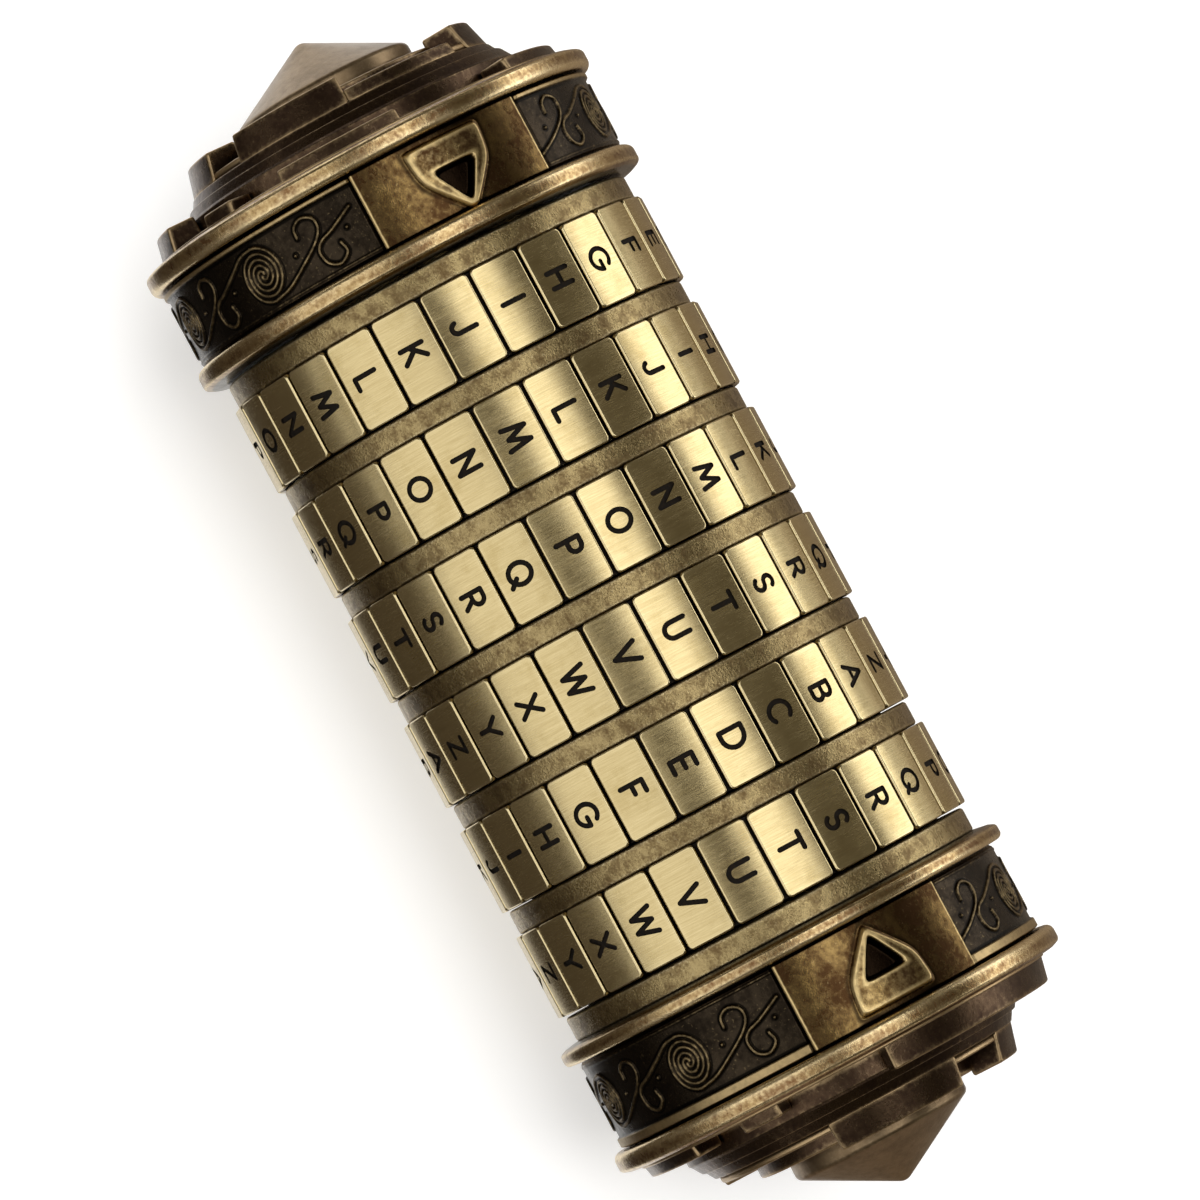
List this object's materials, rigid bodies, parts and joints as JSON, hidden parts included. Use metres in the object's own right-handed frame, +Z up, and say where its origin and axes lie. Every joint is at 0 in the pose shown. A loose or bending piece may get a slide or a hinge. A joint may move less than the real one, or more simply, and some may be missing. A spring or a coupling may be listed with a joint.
{
  "type": "cryptex",
  "caption": "Cylindrical letter-lock puzzle box: lettered rings turn on a slotted tube, and a vault tube slides out of one end when each ring shows its letter at the pointer.",
  "frame": {"origin": "on the resting surface, under the middle of the object's length, straight below the axis", "axes": "+X along the axis from the vault cap to the fixed case cap, +Z up towards the pointer line"},
  "size_m": [0.1406, 0.0542, 0.0542],
  "materials": {
    "brushed_brass": "brushed",
    "antique_brass": "antiqued",
    "dark_bronze": "blackened",
    "brown_bronze": "patinated",
    "smooth_bronze": "satin",
    "turned_brass": "turned",
    "steel": "satin"
  },
  "bodies": {
    "outer_case": {"guide_tube": "turned_brass", "tube_stop": "turned_brass", "retaining_nut": "turned_brass", "end_spacer_ring": "antique_brass", "case_inner_flange": "antique_brass", "case_drum": "dark_bronze", "case_outer_flange": "antique_brass", "case_lug_ring": "brown_bronze", "case_stepped_boss": "brown_bronze", "case_crown_ring": "brown_bronze", "case_finial": "smooth_bronze", "case_stud": "steel", "case_pointer_plaque_1": "antique_brass", "case_pointer_plaque_2": "antique_brass", "case_scroll_panel_1": "dark_bronze", "case_scroll_panel_2": "dark_bronze"},
    "vault": {"vault_tube": "turned_brass", "vault_floor": "turned_brass", "key_rail": "turned_brass", "vault_inner_flange": "antique_brass", "vault_drum": "dark_bronze", "vault_outer_flange": "antique_brass", "vault_lug_ring": "brown_bronze", "vault_stepped_boss": "brown_bronze", "vault_crown_ring": "brown_bronze", "vault_finial": "smooth_bronze", "vault_stud": "steel", "vault_pointer_plaque_1": "antique_brass", "vault_pointer_plaque_2": "antique_brass", "vault_scroll_panel_1": "dark_bronze", "vault_scroll_panel_2": "dark_bronze"},
    "letter_ring_1": {"ring_carrier_1": "antique_brass", "code_ring_1": "turned_brass", "letter_band_1": "brushed_brass"},
    "letter_ring_2": {"ring_carrier_2": "antique_brass", "code_ring_2": "turned_brass", "letter_band_2": "brushed_brass"},
    "letter_ring_3": {"ring_carrier_3": "antique_brass", "code_ring_3": "turned_brass", "letter_band_3": "brushed_brass"},
    "letter_ring_4": {"ring_carrier_4": "antique_brass", "code_ring_4": "turned_brass", "letter_band_4": "brushed_brass"},
    "letter_ring_5": {"ring_carrier_5": "antique_brass", "code_ring_5": "turned_brass", "letter_band_5": "brushed_brass"},
    "letter_ring_6": {"ring_carrier_6": "antique_brass", "code_ring_6": "turned_brass", "letter_band_6": "brushed_brass"}
  },
  "joints": [
    {"name": "ring_1_turn", "type": "hinge", "parent": "outer_case", "child": "letter_ring_1", "pos_m": [-0.0343, 0, 0.0271], "axis": [1, 0, 0], "continuous": true},
    {"name": "ring_2_turn", "type": "hinge", "parent": "outer_case", "child": "letter_ring_2", "pos_m": [-0.0213, 0, 0.0271], "axis": [1, 0, 0], "continuous": true},
    {"name": "ring_3_turn", "type": "hinge", "parent": "outer_case", "child": "letter_ring_3", "pos_m": [-0.0083, 0, 0.0271], "axis": [1, 0, 0], "continuous": true},
    {"name": "ring_4_turn", "type": "hinge", "parent": "outer_case", "child": "letter_ring_4", "pos_m": [0.0047, 0, 0.0271], "axis": [1, 0, 0], "continuous": true},
    {"name": "ring_5_turn", "type": "hinge", "parent": "outer_case", "child": "letter_ring_5", "pos_m": [0.0177, 0, 0.0271], "axis": [1, 0, 0], "continuous": true},
    {"name": "ring_6_turn", "type": "hinge", "parent": "outer_case", "child": "letter_ring_6", "pos_m": [0.0307, 0, 0.0271], "axis": [1, 0, 0], "continuous": true},
    {"name": "vault_slide", "type": "slide", "parent": "outer_case", "child": "vault", "axis": [-1, 0, 0], "range_m": [0, 0.085]}
  ]
}
